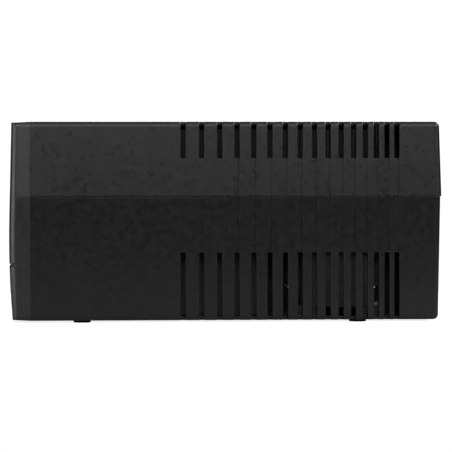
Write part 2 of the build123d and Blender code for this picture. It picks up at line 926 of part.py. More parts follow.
# ================================================================ battery
def make_battery():
    half = battery_width / 2
    split_z = battery_top - battery_lid_height
    with BuildPart() as battery_case:
        block((-half, half), (battery_front_y, battery_rear_y), (floor_top, split_z))
        fillet(battery_case.edges().filter_by(Axis.Z), 2.0)
        chamfer(battery_case.faces().sort_by(Axis.Z)[0].edges(), 0.6)
        # shallow sunk panels on both long sides
        for side in (-1, 1):
            span = sorted((side * (half - 0.6), side * (half + 1)))
            ends = (battery_front_y + 9, battery_rear_y - 9)
            block(span, ends, (floor_top + 12, split_z - 10), Mode.SUBTRACT)
    battery_case.part.label = "battery_case"
    export_step(battery_case.part, "parts/battery_case.step")

    with BuildPart() as battery_lid:
        block((-half, half), (battery_front_y, battery_rear_y), (split_z, battery_top))
        fillet(battery_lid.edges().filter_by(Axis.Z), 2.0)
        chamfer(battery_lid.faces().sort_by(Axis.Z)[-1].edges(), 0.8)
        chamfer(battery_lid.faces().sort_by(Axis.Z)[0].edges(), 0.4)
        # sunk strip over the six cell vents
        block(
            (-9, 9),
            (battery_front_y + 20, battery_rear_y - 12),
            (battery_top - 0.6, battery_top + 1),
            Mode.SUBTRACT,
        )
    battery_lid.part.label = "battery_lid"
    export_step(battery_lid.part, "parts/battery_lid.step")

    for name, side in (("battery_terminal_negative", -1), ("battery_terminal_positive", 1)):
        x = side * terminal_side
        y = battery_front_y + terminal_inset
        with BuildPart() as terminal:
            half_tab = terminal_width / 2
            block((x - half_tab, x + half_tab), (y - 4, y + 4), (battery_top, battery_top + 0.8))
            block(
                (x - half_tab, x + half_tab),
                (y - terminal_thickness / 2, y + terminal_thickness / 2),
                (battery_top + 0.8, battery_top + 0.8 + terminal_height),
            )
        terminal.part.label = name
        export_step(terminal.part, f"parts/{name}.step")


# ================================================================ transformer
def make_transformer():
    half = core_half_width()
    leg = half / 3
    low, high = core_bottom, core_top
    front, back = core_centre_y - core_stack / 2, core_centre_y + core_stack / 2
    window = (low + leg, high - leg)
    with BuildPart() as transformer_core:
        block((-half, half), (front, back), (low, high))
        for side in (-1, 1):
            span = sorted((side * leg, side * 2 * leg))
            block(span, (front - 1, back + 1), window, Mode.SUBTRACT)
        chamfer(transformer_core.edges().filter_by(Axis.Y).group_by(Axis.Z)[0], 0.5)
        # joint between the E and I laminations, all round
        seam_z = high - leg
        for x in (-half, half):
            block((x - 0.3, x + 0.3), (front - 1, back + 1), (seam_z - 0.2, seam_z + 0.2), Mode.SUBTRACT)
    transformer_core.part.label = "transformer_core"
    export_step(transformer_core.part, "parts/transformer_core.step")

    tube_x, tube_y = leg + fit, core_stack / 2 + fit
    flange_x, flange_y = 2 * leg - fit, core_stack / 2 + coil_build
    low_z, high_z = window[0] + fit, window[1] - fit
    with BuildPart() as transformer_bobbin:
        outer_x, outer_y = tube_x + bobbin_wall, tube_y + bobbin_wall
        rows = (core_centre_y - outer_y, core_centre_y + outer_y)
        block((-outer_x, outer_x), rows, (low_z, high_z))
        for z in ((low_z, low_z + bobbin_wall), (high_z - bobbin_wall, high_z)):
            rows = (core_centre_y - flange_y, core_centre_y + flange_y)
            block((-flange_x, flange_x), rows, z)
        rows = (core_centre_y - tube_y, core_centre_y + tube_y)
        block((-tube_x, tube_x), rows, (low_z - 1, high_z + 1), Mode.SUBTRACT)
    transformer_bobbin.part.label = "transformer_bobbin"
    export_step(transformer_bobbin.part, "parts/transformer_bobbin.step")

    with BuildPart() as transformer_winding:
        wound_x, wound_y = flange_x - 1.0, flange_y - 1.0
        heights = (low_z + bobbin_wall, high_z - bobbin_wall)
        block((-wound_x, wound_x), (core_centre_y - wound_y, core_centre_y + wound_y), heights)
        fillet(transformer_winding.edges().filter_by(Axis.Z), 4.0)
        rows = (core_centre_y - outer_y, core_centre_y + outer_y)
        block((-outer_x, outer_x), rows, (low_z, high_z), Mode.SUBTRACT)
    transformer_winding.part.label = "transformer_winding"
    export_step(transformer_winding.part, "parts/transformer_winding.step")

    for name, side in (("transformer_clamp_left", -1), ("transformer_clamp_right", 1)):
        x = side * (half - half / 6)
        with BuildPart() as clamp:
            with BuildSketch(Plane.YZ.offset(x - clamp_width / 2)):
                with BuildLine():
                    foot_top = core_bottom + clamp_thickness
                    Polyline(
                        (front - clamp_thickness - clamp_foot, core_bottom),
                        (front, core_bottom),
                        (front, high),
                        (back, high),
                        (back, core_bottom),
                        (back + clamp_thickness + clamp_foot, core_bottom),
                        (back + clamp_thickness + clamp_foot, foot_top),
                        (back + clamp_thickness, foot_top),
                        (back + clamp_thickness, high + clamp_thickness),
                        (front - clamp_thickness, high + clamp_thickness),
                        (front - clamp_thickness, foot_top),
                        (front - clamp_thickness - clamp_foot, foot_top),
                        close=True,
                    )
                make_face()
            extrude(amount=clamp_width)
            holes = [
                (px, py + out * (clamp_foot / 2 + clamp_thickness))
                for px, py, out in clamp_places()
                if abs(px - x) < 1
            ]
            post(holes, small_screw_radius + fit, (core_bottom - 1, foot_top + 1), Mode.SUBTRACT)
        clamp.part.label = name
        export_step(clamp.part, f"parts/{name}.step")

    with BuildPart() as transformer_screws:
        for x, y, out in clamp_places():
            place = (x, y + out * (clamp_foot / 2 + clamp_thickness))
            seat = core_bottom + clamp_thickness
            post([place], small_head_radius, (seat, seat + small_head_height))
            post([place], small_screw_radius - 0.02, (seat - 6.5, seat))
            cross_slot(place[0], place[1], seat + small_head_height, small_head_radius, -0.9)
    transformer_screws.part.label = "transformer_screws"
    export_step(transformer_screws.part, "parts/transformer_screws.step")


# ================================================================ main board
def make_main_board():
    with BuildPart() as main_board:
        block(
            (-board_half_width, board_half_width),
            (board_front_y, board_rear_y),
            (board_bottom, board_top),
        )
        through = (board_bottom - 1, board_top + 1)
        post(board_screw_places(), small_screw_radius + fit, through, Mode.SUBTRACT)
        # ribbon header, standing on the board
        x, y = cable_x, cable_end_y
        block((x - 6.5, x + 6.5), (y - 2.5, y + 2.5), (board_top, board_top + 6.0))
        # the control chip and rows of small surface parts, all soldered down
        y = board_front_y + 38.0
        block((-5.5, 5.5), (y - 5.5, y + 5.5), (board_top, board_top + 1.6))
        for i in range(9):
            for x in (-24, 25):
                y = board_front_y + 24 + 11 * i
                block((x - 1.6, x + 1.6), (y - 1, y + 1), (board_top, board_top + 1.1))
    main_board.part.label = "main_board"
    export_step(main_board.part, "parts/main_board.step")


def heatsink_span():
    return (board_front_y + heatsink_inset, board_rear_y - heatsink_inset)


def make_heatsinks():
    for name, side in (("heatsink_left", -1), ("heatsink_right", 1)):
        with BuildPart() as heatsink:
            outer = board_half_width
            inner = outer - fin_depth - heatsink_base
            heights = (board_top, board_top + heatsink_height)
            start, stop = heatsink_span()
            plate = sorted((side * inner, side * (inner + heatsink_base)))
            block(plate, (start, stop), heights)
            fins = sorted((side * (inner + heatsink_base), side * outer))
            count = int((stop - start - fin_thickness) // fin_pitch) + 1
            for i in range(count):
                y = start + fin_pitch * i
                block(fins, (y, y + fin_thickness), heights)
        heatsink.part.label = name
        export_step(heatsink.part, f"parts/{name}.step")


def make_mosfets():
    for name, side in (("power_transistor_left", -1), ("power_transistor_right", 1)):
        face = board_half_width - fin_depth - heatsink_base
        middle = sum(heatsink_span()) / 2
        with BuildPart() as power_transistor:
            body = sorted((side * (face - 4.6), side * face))
            block(body, (middle - 5, middle + 5), (board_top + 4, board_top + 13))
            tab = sorted((side * (face - 1.3), side * face))
            block(tab, (middle - 5, middle + 5), (board_top + 13, board_top + 19.5))
            for offset in (-2.54, 0, 2.54):
                leg = sorted((side * (face - 2.8), side * (face - 2.2)))
                row = (middle + offset - 0.4, middle + offset + 0.4)
                block(leg, row, (board_top, board_top + 4))
        power_transistor.part.label = name
        export_step(power_transistor.part, f"parts/{name}.step")


def make_board_parts():
    for name, x in (("relay_left", -13.0), ("relay_right", 13.0)):
        y = board_rear_y - relay_to_board_rear
        with BuildPart() as relay:
            block((x - 8, x + 8), (y - 9.5, y + 9.5), (board_top, board_top + 15.5))
            fillet(relay.edges().filter_by(Axis.Z), 0.8)
            chamfer(relay.faces().sort_by(Axis.Z)[-1].edges(), 0.5)
        relay.part.label = name
        export_step(relay.part, f"parts/{name}.step")

    with BuildPart() as capacitor:
        place = [(0, board_front_y + 66.0)]
        post(place, 9.0, (board_top, board_top + 23.0))
        fillet(capacitor.faces().sort_by(Axis.Z)[-1].edges(), 0.8)
        post(place, 7.4, (board_top + 22.6, board_top + 24.0), Mode.SUBTRACT)
    capacitor.part.label = "capacitor"
    export_step(capacitor.part, "parts/capacitor.step")

    with BuildPart() as battery_fuse:
        x, y = -8.5, board_front_y + 5.0
        block((x - 9, x + 9), (y - 3.6, y + 3.6), (board_top, board_top + 8.0))
        block((x - 8, x + 8), (y - 2.0, y + 2.0), (board_top + 8.0, board_top + 13.5))
    battery_fuse.part.label = "battery_fuse"
    export_step(battery_fuse.part, "parts/battery_fuse.step")

    with BuildPart() as board_screws:
        for x, y in board_screw_places():
            post([(x, y)], small_head_radius, (board_bottom - small_head_height, board_bottom))
            post([(x, y)], small_screw_radius - 0.02, (board_bottom, board_bottom + 9.0))
            cross_slot(x, y, board_bottom - small_head_height, small_head_radius, 0.9)
    board_screws.part.label = "board_screws"
    export_step(board_screws.part, "parts/board_screws.step")


# ================================================================ rear panel and sockets
def outlet_places():
    return [(-column_offset, outlet_lowest + outlet_pitch * i) for i in range(outlet_count)]


def keyed_bar(place, w, h, cut, y, mode=Mode.ADD):
    with BuildSketch(Plane.XZ.offset(-y[1])) as profile:
        with Locations(place):
            add(keyed_face(w, h, cut))
    extrude(profile.sketch, amount=y[1] - y[0], mode=mode)


def keyed_face(w, h, cut):
    """A rectangle with its two upper corners cut off, as in mains appliance couplers."""
    with BuildSketch(mode=Mode.PRIVATE) as face:
        with BuildLine():
            Polyline(
                (-w / 2, -h / 2),
                (w / 2, -h / 2),
                (w / 2, h / 2 - cut),
                (w / 2 - cut, h / 2),
                (-w / 2 + cut, h / 2),
                (-w / 2, h / 2 - cut),
                close=True,
            )
        make_face()
    return face.sketch


def socket_body_y():
    """Back and front of a socket's body behind its flange."""
    return (rear_inner_y + socket_flange - socket_depth - socket_floor, rear_inner_y)


def make_rear_panel():
    with BuildPart() as rear_panel:
        bottom = window_bottom - panel_margin
        top = window_top + panel_margin
        block(
            (-panel_half_width + fit, panel_half_width - fit),
            (panel_front_y, rear_inner_y),
            (bottom, top),
        )
        span = (panel_front_y - 1, rear_inner_y + 1)
        body_w = recess_width + 2 * socket_wall + 2 * snug
        body_h = recess_height + 2 * socket_wall + 2 * snug
        for x, z in outlet_places():
            half_w, half_h = body_w / 2, body_h / 2
            block((x - half_w, x + half_w), span, (z - half_h, z + half_h), Mode.SUBTRACT)
        x, half_w = column_offset, inlet_body_half() + snug
        low, high = inlet_body_span()
        block((x - half_w, x + half_w), span, (low - snug, high + snug), Mode.SUBTRACT)
        for x, w, h in ((usb_side, 6.0, 5.5), (data_side, 7.8, 6.6)):
            w, h = w + snug, h + snug
            block((x - w, x + w), span, (port_height - h, port_height + h), Mode.SUBTRACT)
    rear_panel.part.label = "rear_panel"
    export_step(rear_panel.part, "parts/rear_panel.step")


def contact_places(x, z):
    return [
        ("line", x - contact_spacing, z - live_drop),
        ("neutral", x + contact_spacing, z - live_drop),
        ("earth", x, z + earth_rise),
    ]


def make_outlets():
    back, seat = socket_body_y()
    face = seat + socket_flange
    for i, (x, z) in enumerate(outlet_places()):
        with BuildPart() as outlet:
            half_w = recess_width / 2 + socket_wall
            half_h = recess_height / 2 + socket_wall
            block((x - half_w, x + half_w), (back, seat), (z - half_h, z + half_h))
            half_w, half_h = socket_flange_width / 2, socket_flange_height / 2
            with BuildSketch(Plane.XZ.offset(-face)):
                with Locations((x, z)):
                    RectangleRounded(2 * half_w, 2 * half_h, 2.0)
            extrude(amount=socket_flange)
            chamfer(outlet.faces().sort_by(Axis.Y)[-1].edges(), 0.5)
            floor_y = back + socket_floor
            hollow = (floor_y, face + 1)
            keyed_bar((x, z), recess_width, recess_height, island_cut + 1.5, hollow, Mode.SUBTRACT)
            keyed_bar((x, z), island_width, island_height, island_cut, (floor_y - 0.5, face - 0.6))
            for _, cx, cz in contact_places(x, z):
                hole_x = about(cx, slot_for_pin_width / 2)
                hole_z = about(cz, slot_for_pin_height / 2)
                block(hole_x, (back - 1, face + 1), hole_z, Mode.SUBTRACT)
        name = f"outlet_{i + 1}"
        outlet.part.label = name
        export_step(outlet.part, f"parts/{name}.step")


def make_outlet_strips():
    """One brass strip for each pole, behind all three outlets, with a tongue into each."""
    back, _ = socket_body_y()
    for pole in range(3):
        places = [contact_places(x, z)[pole] for x, z in outlet_places()]
        name = f"outlet_strip_{places[0][0]}"
        with BuildPart() as strip:
            x = places[0][1]
            low, high = places[0][2] - 4.0, places[-1][2] + 4.0
            half = strip_width / 2
            block((x - half, x + half), (back - strip_thickness, back), (low, high))
            for _, cx, cz in places:
                half = strip_thickness / 2
                block((cx - half, cx + half), (back, back + tongue_reach), (cz - 2.0, cz + 2.0))
        strip.part.label = name
        export_step(strip.part, f"parts/{name}.step")


def inlet_body_half():
    return recess_width / 2 + socket_wall


def inlet_body_span():
    low = inlet_height - drawer_drop - drawer_height / 2 - socket_wall
    high = inlet_height + inlet_cavity_height / 2 + 3.0
    return (low, high)


def drawer_z():
    centre = inlet_height - drawer_drop
    return (centre - drawer_height / 2, centre + drawer_height / 2)


def make_mains_inlet():
    back, seat = socket_body_y()
    face = seat + socket_flange
    x = column_offset
    low, high = inlet_body_span()
    half = inlet_body_half()
    with BuildPart() as mains_inlet:
        block((x - half, x + half), (back, seat), (low, high))
        middle = (low + high) / 2
        tall = high - low + 3.0
        with BuildSketch(Plane.XZ.offset(-face)):
            with Locations((x, middle)):
                RectangleRounded(socket_flange_width, tall, 2.0)
        extrude(amount=socket_flange)
        chamfer(mains_inlet.faces().sort_by(Axis.Y)[-1].edges(), 0.5)
        cavity = (back + socket_floor, face + 1)
        keyed_bar(
            (x, inlet_height), inlet_cavity_width, inlet_cavity_height, island_cut, cavity, Mode.SUBTRACT
        )
        for _, cx, cz in contact_places(x, inlet_height):
            hole_x, hole_z = about(cx, pin_thickness / 2 + snug), about(cz, pin_height / 2 + snug)
            block(hole_x, (back - 1, face - 4), hole_z, Mode.SUBTRACT)
        # bay for the fuse drawer
        half_w = drawer_width / 2
        block((x - half_w, x + half_w), (face - drawer_depth, face + 1), drawer_z(), Mode.SUBTRACT)
    mains_inlet.part.label = "mains_inlet"
    export_step(mains_inlet.part, "parts/mains_inlet.step")

    for pole, cx, cz in contact_places(x, inlet_height):
        name = f"inlet_pin_{pole}"
        with BuildPart() as pin:
            tip_y = back + socket_floor + pin_reach - 2
            block(about(cx, pin_thickness / 2), (back, tip_y), about(cz, pin_height / 2))
            tip = pin.faces().sort_by(Axis.Y)[-1]
            chamfer(tip.edges(), 0.4)
            block((cx - 2.4, cx + 2.4), (back - tail_reach, back), (cz - 0.4, cz + 0.4))
        pin.part.label = name
        export_step(pin.part, f"parts/{name}.step")


def make_fuse_drawer():
    _, seat = socket_body_y()
    face = seat + socket_flange
    x = column_offset
    low, high = drawer_z()
    middle = (low + high) / 2
    half = drawer_width / 2 - 0.3
    tray_back = face - drawer_depth + 0.6
    with BuildPart() as fuse_drawer:
        block((x - half, x + half), (tray_back, face + 0.2), (low + 0.3, high - 0.3))
        # cradle for the fuse, open above
        fuse_y = tray_back + 6.0
        room = fuse_length / 2 + 0.4
        slot = (fuse_y - fuse_radius - 0.2, fuse_y + fuse_radius + 0.2)
        block((x - room, x + room), slot, (middle - fuse_radius, high + 1), Mode.SUBTRACT)
        plate = half + 1.1
        with BuildSketch(Plane.XZ.offset(-(face + 0.2 + drawer_plate))):
            with Locations((x, middle)):
                RectangleRounded(2 * plate, drawer_height + 1.2, 1.0)
        extrude(amount=drawer_plate)
        front = face + 0.2 + drawer_plate
        chamfer(fuse_drawer.faces().sort_by(Axis.Y)[-1].edges(), 0.4)
        # finger notch
        block((x - 4, x + 4), (front - 0.7, front + 1), (high - 2.2, high + 2), Mode.SUBTRACT)
    fuse_drawer.part.label = "fuse_drawer"
    export_step(fuse_drawer.part, "parts/fuse_drawer.step")

    with BuildPart() as mains_fuse:
        half = fuse_length / 2
        with BuildSketch(Plane.YZ.offset(x - half)):
            with Locations((fuse_y, middle)):
                Circle(fuse_radius)
        extrude(amount=fuse_length)
        with BuildSketch(Plane.YZ.offset(x - half + 5)):
            with Locations((fuse_y, middle)):
                Circle(fuse_radius + 1)
                Circle(fuse_radius - 0.25, mode=Mode.SUBTRACT)
        extrude(amount=fuse_length - 10, mode=Mode.SUBTRACT)
    mains_fuse.part.label = "mains_fuse"
    export_step(mains_fuse.part, "parts/mains_fuse.step")


def make_ports():
    face = rear_inner_y + 1.0
    with BuildPart() as usb_port:
        x, z = usb_side, port_height
        block((x - 6.0, x + 6.0), (rear_inner_y - 16, face), (z - 5.5, z + 5.5))
        with BuildSketch(Plane.XZ.offset(-face - 1)):
            with Locations((x, z)):
                add(keyed_face(8.6, 7.9, 1.6))
        extrude(amount=10, mode=Mode.SUBTRACT)
        block((x - 2.8, x + 2.8), (face - 10, face - 1.2), (z - 1.6, z + 1.6))
    usb_port.part.label = "usb_port"
    export_step(usb_port.part, "parts/usb_port.step")

    with BuildPart() as data_port:
        x, z = data_side, port_height
        block((x - 7.8, x + 7.8), (rear_inner_y - 16, face), (z - 6.6, z + 6.6))
        block((x - 5.9, x + 5.9), (face - 13, face + 1), (z - 3.4, z + 4.6), Mode.SUBTRACT)
        block((x - 3.0, x + 3.0), (face - 13, face + 1), (z - 5.4, z - 3.4), Mode.SUBTRACT)
        for i in range(8):
            row = x - 3.56 + 1.016 * i
            block((row - 0.2, row + 0.2), (face - 12, face - 3), (z + 4.0, z + 4.6))
    data_port.part.label = "data_port"
    export_step(data_port.part, "parts/data_port.step")


# ================================================================ leads

def lead_tube(name, points, radius, bends):
    """A round insulated lead along straight runs joined by tangent arcs."""
    with BuildPart() as lead:
        with BuildLine() as route:
            FilletPolyline(*points, radius=bends)
        with BuildSketch(Plane(origin=route.line @ 0, z_dir=route.line % 0)):
            Circle(radius)
        sweep(path=route.line)
    print(name, "bends", bends, "length", round(route.wire().length, 1))
    return lead.part


def make_battery_leads():
    for name, side in (("battery_lead_negative", -1), ("battery_lead_positive", 1)):
        x = side * terminal_side
        start_y = battery_front_y + terminal_inset
        boot_low = battery_top + 1.2
        boot_top = boot_low + 9.0
        top = boot_top + lead_rise
        end_y = board_front_y + 5.0
        points = [
            (x, start_y, boot_top),
            (x, start_y, top),
            (x, end_y, top),
            (x, end_y, board_top),
        ]
        tube = lead_tube(name, points, lead_radius, [lead_bend, 7.0])
        with BuildPart() as battery_lead:
            add(tube)
            # insulated receptacle pushed over the terminal
            block((x - 4.6, x + 4.6), (start_y - 2.4, start_y + 2.4), (boot_low, boot_top))
            block(
                (x - terminal_width / 2 - snug, x + terminal_width / 2 + snug),
                (start_y - terminal_thickness / 2 - snug, start_y + terminal_thickness / 2 + snug),
                (boot_low - 1, battery_top + 0.8 + terminal_height + snug),
                Mode.SUBTRACT,
            )
        battery_lead.part.label = name
        export_step(battery_lead.part, f"parts/{name}.step")


def make_display_cable():
    start_y = display_back_y + 4.0
    with BuildPart() as display_cable:
        with BuildLine() as route:
            FilletPolyline(
                (cable_x, start_y, cable_height),
                (cable_x, cable_end_y, cable_height),
                (cable_x, cable_end_y, board_top + 6.0),
                radius=4.0,
            )
        direction = route.line % 0
        with BuildSketch(Plane(origin=route.line @ 0, x_dir=(1, 0, 0), z_dir=direction)):
            Rectangle(cable_width, cable_thickness)
        sweep(path=route.line)
    display_cable.part.label = "display_cable"
    export_step(display_cable.part, "parts/display_cable.step")


def make_transformer_leads():
    top_of_flange = core_top - core_half_width() / 3 - fit
    for name, x in (("transformer_lead_low", -12.0), ("transformer_lead_high", 12.0)):
        y = core_centre_y - core_stack / 2 - coil_build / 2 - 1.0
        points = [
            (x, y, top_of_flange),
            (x, y, top_of_flange + 14),
            (x, y - 8, board_bottom - 14),
            (x, y - 8, board_bottom),
        ]
        tube = lead_tube(name, points, 2.0, [14.0, 14.0])
        tube.label = name
        export_step(tube, f"parts/{name}.step")


def make_mains_leads():
    back, _ = socket_body_y()
    for pole, cx, cz in contact_places(column_offset, inlet_height)[:2]:
        name = f"mains_lead_{pole}"
        y = back - tail_reach
        points = [
            (cx, y, cz),
            (cx, y - 7.5, cz),
            (cx, y - 7.5, board_bottom - 16),
            (cx, board_rear_y - 6.0, board_bottom - 7),
            (cx, board_rear_y - 6.0, board_bottom),
        ]
        tube = lead_tube(name, points, thin_lead_radius, [6.0, 6.0, 4.0])
        tube.label = name
        export_step(tube, f"parts/{name}.step")


make_lower_case()
make_upper_cover()
make_front_bezel()
make_front_fascia()
make_power_button()
make_power_switch()
make_power_switch_plunger()
make_power_button_spring()
make_display_board()
make_light_pipes()
make_buzzer()
make_feet()
make_case_screws()
make_battery()
make_transformer()
make_main_board()
make_heatsinks()
make_mosfets()
make_board_parts()
make_rear_panel()
make_outlets()
make_outlet_strips()
make_mains_inlet()
make_fuse_drawer()
make_ports()
make_battery_leads()
make_display_cable()
make_transformer_leads()
make_mains_leads()
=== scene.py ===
import math

import bmesh
import bpy
from mathutils import Matrix, Vector
from mathutils.bvhtree import BVHTree


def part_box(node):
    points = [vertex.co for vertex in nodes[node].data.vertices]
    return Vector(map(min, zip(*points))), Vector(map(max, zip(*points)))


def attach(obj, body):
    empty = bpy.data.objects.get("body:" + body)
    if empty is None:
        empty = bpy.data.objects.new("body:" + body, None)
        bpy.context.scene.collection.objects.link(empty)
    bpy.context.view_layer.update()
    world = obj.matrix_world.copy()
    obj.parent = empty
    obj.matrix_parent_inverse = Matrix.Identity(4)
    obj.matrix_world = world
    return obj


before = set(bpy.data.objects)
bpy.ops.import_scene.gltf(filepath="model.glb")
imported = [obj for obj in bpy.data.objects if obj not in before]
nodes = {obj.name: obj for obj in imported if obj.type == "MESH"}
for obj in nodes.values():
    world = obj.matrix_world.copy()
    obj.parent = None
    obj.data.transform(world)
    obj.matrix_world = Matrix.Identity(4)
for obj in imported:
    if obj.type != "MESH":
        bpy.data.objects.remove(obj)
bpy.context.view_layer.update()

scene = bpy.context.scene

# ---------------------------------------------------------------- camera
VIEW_DISTANCE = 1.8
VIEW_YAW = math.radians(3.0)
VIEW_PITCH = math.radians(-0.65)
VIEW_ROLL = math.radians(-0.1)
VIEW_CENTRE_Y = 0.0027
VIEW_HEIGHT = 0.0867
SENSOR_WIDTH = 36.0
FOCAL_SHARE = 2537.0 / 452.0


def make_camera():
    data = bpy.data.cameras.new("camera")
    data.sensor_width = SENSOR_WIDTH
    data.sensor_fit = "HORIZONTAL"
    data.lens = SENSOR_WIDTH * FOCAL_SHARE
    data.clip_start = 0.05
    data.clip_end = 60.0
    camera = bpy.data.objects.new("camera", data)
    scene.collection.objects.link(camera)
    forward = Vector((
        -math.cos(VIEW_YAW) * math.cos(VIEW_PITCH),
        math.sin(VIEW_YAW) * math.cos(VIEW_PITCH),
        math.sin(VIEW_PITCH),
    ))
    turn = forward.to_track_quat("-Z", "Y").to_matrix().to_4x4()
    place = Matrix.Translation((
        VIEW_DISTANCE * math.cos(VIEW_YAW),
        VIEW_CENTRE_Y - VIEW_DISTANCE * math.sin(VIEW_YAW),
        VIEW_HEIGHT,
    ))
    camera.matrix_world = place @ turn @ Matrix.Rotation(VIEW_ROLL, 4, "Z")
    scene.camera = camera


# ---------------------------------------------------------------- materials
EDGE_SAMPLES = 6
MOTTLE = 0.14            # how far a moulded colour strays, as a share of it
CLOUD_SCALE = 38.0       # size of the soft tone changes in moulded plastic
TARNISH = 0.2            # how far plated metal darkens, as a share of its colour
DRAWN_SCALE = 420.0      # spacing of the drawn lines in rolled metal


class Finish:
    """A node material built step by step around one Principled shader."""

    def __init__(self, name, roughness=0.5, metallic=0.0, specular=0.5):
        self.material = bpy.data.materials.new(name)
        self.material.use_nodes = True
        self.tree = self.material.node_tree
        self.shader = self.tree.nodes["Principled BSDF"]
        self.shader.inputs["Roughness"].default_value = roughness
        self.shader.inputs["Metallic"].default_value = metallic
        self.shader.inputs["Specular IOR Level"].default_value = specular
        self.where = self.tree.nodes.new("ShaderNodeTexCoord").outputs["Object"]
        self.last_normal = None

    def link(self, a, b):
        self.tree.links.new(a, b)

    def round_edges(self, radius):
        """Shades sharp edges as if they had this radius, as moulding and handling leave them."""
        node = self.tree.nodes.new("ShaderNodeBevel")
        node.samples = EDGE_SAMPLES
        node.inputs["Radius"].default_value = radius
        self.last_normal = node.outputs["Normal"]
        return self

    def stretched(self, stretch):
        mapping = self.tree.nodes.new("ShaderNodeMapping")
        mapping.inputs["Scale"].default_value = stretch
        self.link(self.where, mapping.inputs["Vector"])
        return mapping.outputs["Vector"]

    def noise(self, scale, detail=3.0, rough=0.55, stretch=None):
        node = self.tree.nodes.new("ShaderNodeTexNoise")
        node.inputs["Scale"].default_value = scale
        node.inputs["Detail"].default_value = detail
        node.inputs["Roughness"].default_value = rough
        source = self.where if stretch is None else self.stretched(stretch)
        self.link(source, node.inputs["Vector"])
        return node.outputs["Fac"]

    def cells(self, scale, stretch=None):
        node = self.tree.nodes.new("ShaderNodeTexVoronoi")
        node.inputs["Scale"].default_value = scale
        source = self.where if stretch is None else self.stretched(stretch)
        self.link(source, node.inputs["Vector"])
        return node.outputs["Distance"]

    def bands(self, scale, direction, distortion=0.0, profile="SIN"):
        node = self.tree.nodes.new("ShaderNodeTexWave")
        node.wave_type = "BANDS"
        node.bands_direction = direction
        node.wave_profile = profile
        node.inputs["Scale"].default_value = scale
        node.inputs["Distortion"].default_value = distortion
        node.inputs["Detail"].default_value = 1.0
        self.link(self.where, node.inputs["Vector"])
        return node.outputs["Fac"]

    def spread(self, value, low, high, lowest=0.3, highest=0.7):
        node = self.tree.nodes.new("ShaderNodeMapRange")
        node.inputs["From Min"].default_value = lowest
        node.inputs["From Max"].default_value = highest
        node.inputs["To Min"].default_value = low
        node.inputs["To Max"].default_value = high
        self.link(value, node.inputs["Value"])
        return node.outputs["Result"]

    def colours(self, value, stops):
        node = self.tree.nodes.new("ShaderNodeValToRGB")
        ramp = node.color_ramp
        while len(ramp.elements) < len(stops):
            ramp.elements.new(0.5)
        for element, (place, colour) in zip(ramp.elements, stops):
            element.position = place
            element.color = (*colour, 1.0)
        self.link(value, node.inputs["Fac"])
        self.link(node.outputs["Color"], self.shader.inputs["Base Color"])
        return self

    def vary_roughness(self, value, low, high):
        self.link(self.spread(value, low, high), self.shader.inputs["Roughness"])
        return self

    def bump(self, value, strength, distance):
        node = self.tree.nodes.new("ShaderNodeBump")
        node.inputs["Strength"].default_value = strength
        node.inputs["Distance"].default_value = distance
        self.link(value, node.inputs["Height"])
        if self.last_normal is not None:
            self.link(self.last_normal, node.inputs["Normal"])
        self.last_normal = node.outputs["Normal"]
        self.link(self.last_normal, self.shader.inputs["Normal"])
        return self


def shade(colour, factor):
    return tuple(min(1.0, c * factor) for c in colour)


def moulded(name, colour, roughness=0.45, specular=0.4, grain=900.0, depth=0.00012,
            strength=0.5, edge=0.0):
    """Moulded plastic: a fine eroded grain, soft tone changes and a slightly uneven gloss."""
    finish = Finish(name, roughness=roughness, specular=specular)
    if edge:
        finish.round_edges(edge)
    tone = finish.noise(CLOUD_SCALE, 4.0, 0.6)
    finish.colours(tone, [(0.25, shade(colour, 1.0 - MOTTLE)), (0.5, colour),
                          (0.8, shade(colour, 1.0 + MOTTLE))])
    gloss = finish.noise(CLOUD_SCALE * 6.0, 3.0)
    finish.vary_roughness(gloss, roughness - 0.04, roughness + 0.05)
    finish.bump(finish.noise(grain, 3.0, 0.7), strength, depth)
    return finish.material


def sheet_metal(name, colour, roughness, stretch=(1.0, 1.0, 1.0), metallic=1.0):
    """Plated or rolled metal: fine drawn lines, cloudy tarnish and a broken gloss."""
    finish = Finish(name, roughness=roughness, metallic=metallic)
    tarnish = finish.noise(70.0, 4.0, 0.6)
    finish.colours(tarnish, [(0.25, shade(colour, 1.0 - TARNISH)), (0.7, colour)])
    drawn = finish.noise(DRAWN_SCALE, 3.0, 0.6, stretch)
    finish.vary_roughness(drawn, roughness - 0.08, roughness + 0.14)
    finish.bump(drawn, 0.25, 0.00006)
    return finish.material


def lens(name, colour):
    finish = Finish(name, roughness=0.2, specular=0.5)
    finish.shader.inputs["Transmission Weight"].default_value = 0.35
    finish.shader.inputs["IOR"].default_value = 1.49
    finish.colours(finish.noise(260.0, 2.0), [(0.3, shade(colour, 0.8)), (0.7, colour)])
    finish.vary_roughness(finish.noise(500.0, 2.0), 0.14, 0.26)
    finish.bump(finish.cells(900.0), 0.15, 0.00008)
    return finish.material


def insulation(name, colour):
    finish = Finish(name, roughness=0.38, specular=0.45)
    finish.colours(finish.noise(120.0, 3.0), [(0.3, shade(colour, 0.82)), (0.7, colour)])
    finish.vary_roughness(finish.noise(300.0, 3.0), 0.32, 0.5)
    finish.bump(finish.noise(800.0, 2.0), 0.2, 0.00005)
    return finish.material


